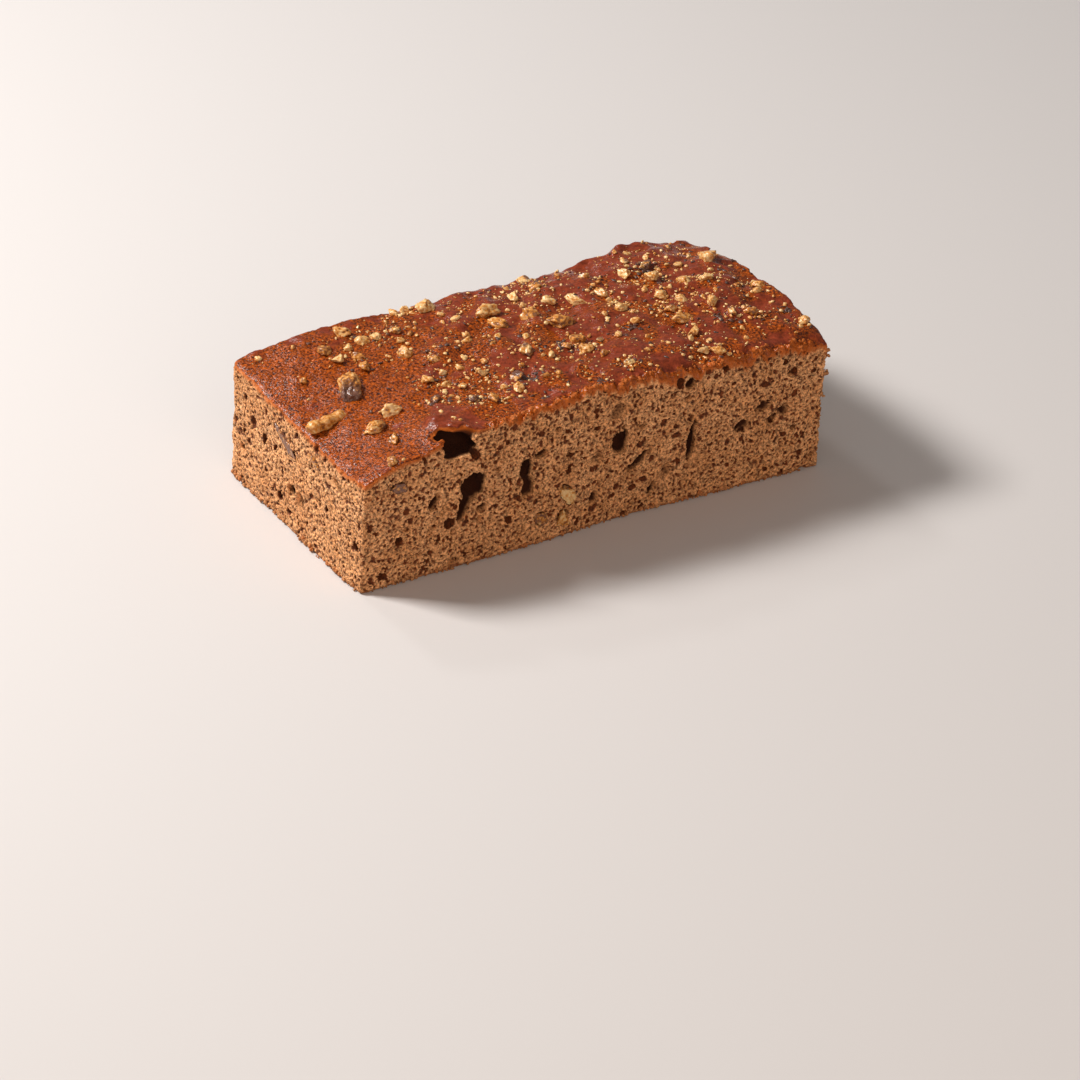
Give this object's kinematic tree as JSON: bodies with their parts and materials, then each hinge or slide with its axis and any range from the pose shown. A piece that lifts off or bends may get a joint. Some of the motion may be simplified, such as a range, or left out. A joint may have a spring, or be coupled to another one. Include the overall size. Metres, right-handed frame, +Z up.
{
  "type": "pound cake loaf",
  "caption": "Bar of pound cake cut on all sides, with a browned crust, chopped walnut baked onto it, and bubbles and walnut slices in the cut faces.",
  "frame": {"origin": "middle of the flat base", "axes": "+Z up, X along the bar, the long cut side that the picture shows faces -Y"},
  "size_m": [0.1901, 0.0929, 0.0609],
  "materials": {
    "crumb": "dry open crumb",
    "crust": "browned, slightly greasy skin",
    "walnut": "baked nut, satin"
  },
  "bodies": {
    "root": {"loaf": "crumb", "walnut_strip": "walnut", "walnut_lump": "walnut", "walnut_pale": "walnut", "walnut_skinned": "walnut", "walnut_back_left": "walnut", "walnut_mid_back": "walnut", "walnut_mid": "walnut", "walnut_round": "walnut", "walnut_amber": "walnut", "walnut_long": "walnut", "walnut_tan": "walnut", "walnut_right_mid": "walnut", "walnut_peak": "walnut", "walnut_slice_pale": "walnut", "walnut_slice_grey": "walnut", "walnut_slice_tan": "walnut", "walnut_slice_dark": "walnut", "walnut_slice_long": "walnut", "walnut_slice_end": "walnut"}
  },
  "joints": []
}
